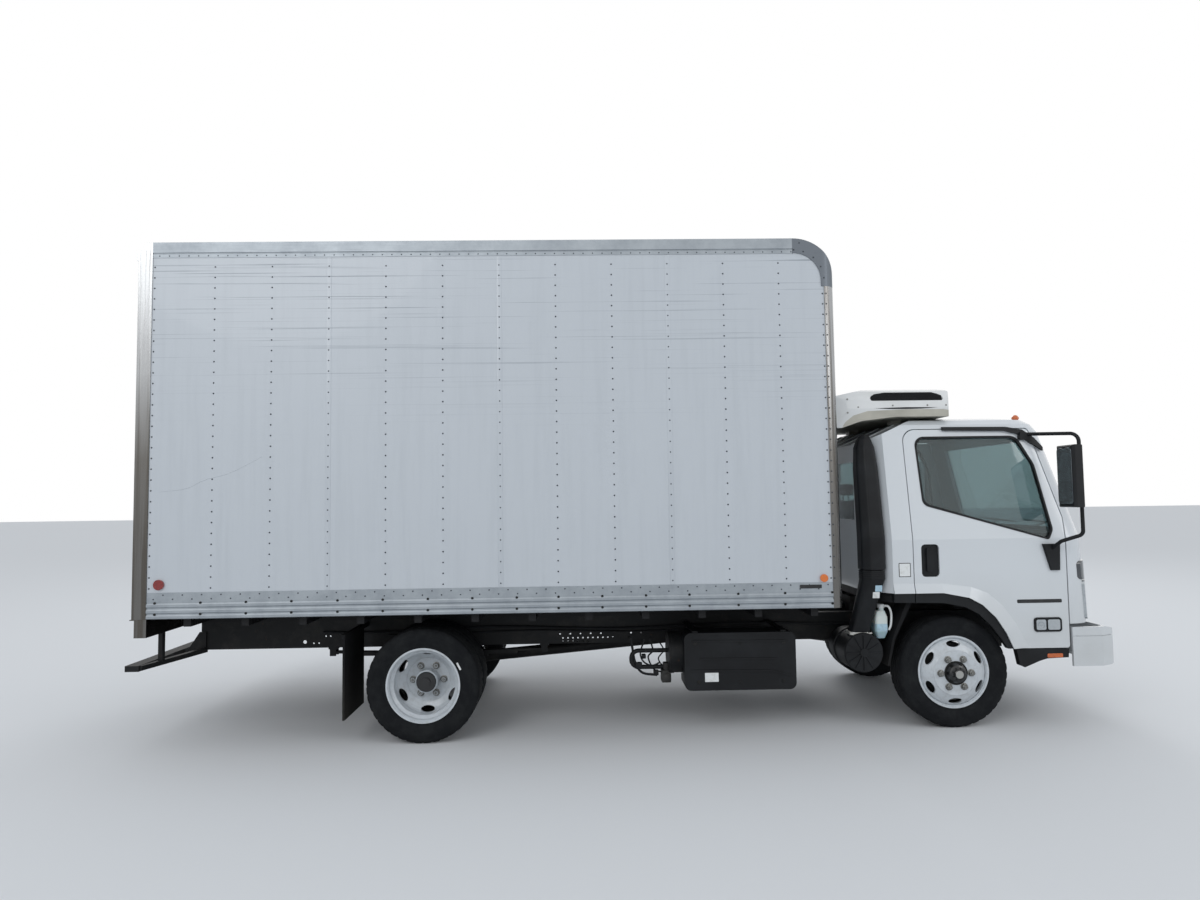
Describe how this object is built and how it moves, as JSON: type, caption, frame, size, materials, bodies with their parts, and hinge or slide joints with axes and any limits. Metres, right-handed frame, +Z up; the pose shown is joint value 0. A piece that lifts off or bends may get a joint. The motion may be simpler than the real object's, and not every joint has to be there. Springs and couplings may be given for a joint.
{
  "type": "refrigerated truck",
  "caption": "Cab-over light truck with an insulated box body and a roof-mounted cooling unit; cab tilts, doors swing, front wheels steer and all wheels roll.",
  "frame": {"origin": "on the ground under the middle of the truck's length and width", "axes": "+X forward, +Y to the truck's left, +Z up"},
  "size_m": [7.052, 2.5924, 3.513],
  "materials": {
    "white_paint": "gloss white enamel",
    "white_panel": "pre-painted white aluminium sheet with rivets",
    "white_wheel": "white enamel on pressed steel",
    "mill_aluminium": "mill-finish extrusion",
    "stainless": "bright stainless sheet",
    "black_chassis": "semi-matt black chassis paint with dust",
    "cast_grey": "raw casting",
    "black_plastic": "grained black moulding",
    "white_plastic": "gloss white moulding",
    "beige_plastic": "pale grey moulding",
    "bottle_plastic": "translucent moulding",
    "lamp_lens": "clear lens",
    "marker_lens": "coloured lens",
    "amber_lens": "amber lens",
    "dash_plastic": "grained grey moulding",
    "seat_fabric": "woven grey cloth",
    "window_glass": "clear tinted glass",
    "tyre_rubber": "worn rubber",
    "plywood_floor": "ribbed aluminium floor over insulation",
    "rubber_flap": "matt black rubber and plastic"
  },
  "bodies": {
    "root": {"frame_rails": "black_chassis", "crossmembers": "black_chassis", "front_axle": "black_chassis", "rear_axle": "black_chassis", "leaf_springs": "black_chassis", "engine_block": "cast_grey", "driveline": "black_chassis", "fuel_tank": "black_chassis", "battery_box": "black_plastic", "aftertreatment": "black_chassis", "aftertreatment_cover": "black_plastic", "air_cleaner": "black_plastic", "coolant_bottle": "bottle_plastic", "front_bumper": "white_paint", "mudguards": "rubber_flap", "box_floor": "plywood_floor", "box_side_walls": "white_panel", "box_front_wall": "white_panel", "box_corner_posts": "stainless", "box_roof": "white_panel", "box_rails": "mill_aluminium", "box_rear_frame": "stainless", "rollup_door": "white_panel", "rear_step": "black_chassis", "marker_lamps": "marker_lens"},
    "cab": {"cab_floor": "black_chassis", "step_wells": "black_chassis", "cab_rear_wall": "white_paint", "cab_roof": "white_paint", "cab_sides": "white_paint", "cab_front_panel": "white_paint", "cab_glazing": "window_glass", "grille": "black_plastic", "cab_lamps": "lamp_lens", "cab_markers": "amber_lens", "cab_steps": "black_plastic", "seats": "seat_fabric", "dashboard": "dash_plastic", "snorkel": "black_plastic", "unit_shell": "white_plastic", "unit_base": "beige_plastic"},
    "door_right": {"door_shell_right": "white_paint", "door_glass_right": "window_glass", "door_mirror_right": "black_plastic"},
    "knuckle_right": {"knuckle_right": "black_chassis"},
    "front_wheel_right": {"front_wheel_right": "white_wheel", "front_tyre_right": "tyre_rubber"},
    "rear_wheels_right": {"rear_wheels_right": "white_wheel", "rear_tyres_right": "tyre_rubber"},
    "door_left": {"door_shell_left": "white_paint", "door_glass_left": "window_glass", "door_mirror_left": "black_plastic"},
    "knuckle_left": {"knuckle_left": "black_chassis"},
    "front_wheel_left": {"front_wheel_left": "white_wheel", "front_tyre_left": "tyre_rubber"},
    "rear_wheels_left": {"rear_wheels_left": "white_wheel", "rear_tyres_left": "tyre_rubber"}
  },
  "joints": [
    {"name": "cab_tilt", "type": "hinge", "parent": "root", "child": "cab", "pos_m": [3.265, 0, 0.72], "axis": [0, 1, 0], "range_deg": [0, 45]},
    {"name": "door_swing_right", "type": "hinge", "parent": "cab", "child": "door_right", "pos_m": [3.092, -0.982, 1.16], "axis": [0, 0, 1], "range_deg": [0, 70]},
    {"name": "door_swing_left", "type": "hinge", "parent": "cab", "child": "door_left", "pos_m": [3.092, 0.982, 1.16], "axis": [0, 0, -1], "range_deg": [0, 70]},
    {"name": "steer_left", "type": "hinge", "parent": "root", "child": "knuckle_left", "pos_m": [2.32, 0.715, 0.398], "axis": [0, 0, 1], "range_deg": [-36, 36]},
    {"name": "roll_front_left", "type": "hinge", "parent": "knuckle_left", "child": "front_wheel_left", "pos_m": [2.32, 0.8325, 0.398], "axis": [0, 1, 0], "continuous": true},
    {"name": "roll_rear_left", "type": "hinge", "parent": "root", "child": "rear_wheels_left", "pos_m": [-1.49, 0.8255, 0.398], "axis": [0, 1, 0], "continuous": true},
    {"name": "steer_right", "type": "hinge", "parent": "root", "child": "knuckle_right", "pos_m": [2.32, -0.715, 0.398], "axis": [0, 0, 1], "range_deg": [-36, 36]},
    {"name": "roll_front_right", "type": "hinge", "parent": "knuckle_right", "child": "front_wheel_right", "pos_m": [2.32, -0.8325, 0.398], "axis": [0, 1, 0], "continuous": true},
    {"name": "roll_rear_right", "type": "hinge", "parent": "root", "child": "rear_wheels_right", "pos_m": [-1.49, -0.8255, 0.398], "axis": [0, 1, 0], "continuous": true}
  ],
  "couplings": [
    {"joint": "steer_right", "follows": "steer_left", "ratio": 1}
  ]
}
